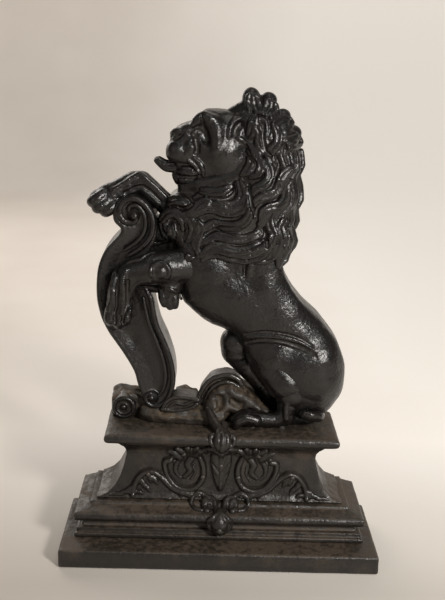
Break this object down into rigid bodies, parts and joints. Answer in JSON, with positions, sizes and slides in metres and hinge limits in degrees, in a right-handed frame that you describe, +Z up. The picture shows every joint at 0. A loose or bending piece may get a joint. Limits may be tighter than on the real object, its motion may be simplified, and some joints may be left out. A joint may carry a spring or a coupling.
{
  "type": "door stop",
  "caption": "Cast-iron door stop: a rearing lion rests its paws on an S-scroll, above rockwork and a moulded, ornamented plinth with a flat back.",
  "frame": {"origin": "middle of the underside of the base plate", "axes": "+Z up, +Y towards the flat back, +X to the right seen from the front; the lion faces -X"},
  "size_m": [0.25, 0.09, 0.3669],
  "materials": {
    "figure_iron": "semi-gloss black",
    "plinth_iron": "satin black, dusty",
    "ornament_iron": "satin black, edges rubbed",
    "rock_iron": "matt brown-black",
    "cover_iron": "rough black",
    "fixing_steel": "blacked steel"
  },
  "bodies": {
    "root": {"base_plate": "plinth_iron", "lower_moulding": "plinth_iron", "pedestal": "plinth_iron", "left_scrollwork": "ornament_iron", "right_scrollwork": "ornament_iron", "centre_pendant": "ornament_iron", "cap_leaf": "ornament_iron", "whiskers": "ornament_iron", "base_boss": "ornament_iron", "ornament_rivets": "fixing_steel", "cap_slab": "plinth_iron", "rock_ground": "rock_iron", "rock_arch": "ornament_iron", "ground_leaf": "ornament_iron", "scroll": "figure_iron", "scroll_cover": "cover_iron", "scroll_roll": "figure_iron", "lion_body": "figure_iron", "back_cover": "cover_iron", "cover_screws": "fixing_steel", "mane": "figure_iron", "head": "figure_iron", "near_foreleg": "figure_iron", "far_foreleg": "figure_iron", "near_hind_leg": "figure_iron", "far_hind_leg": "figure_iron", "tail": "figure_iron", "tie_bolts": "fixing_steel", "tie_washers": "fixing_steel", "dowel_pins": "fixing_steel"}
  },
  "joints": []
}
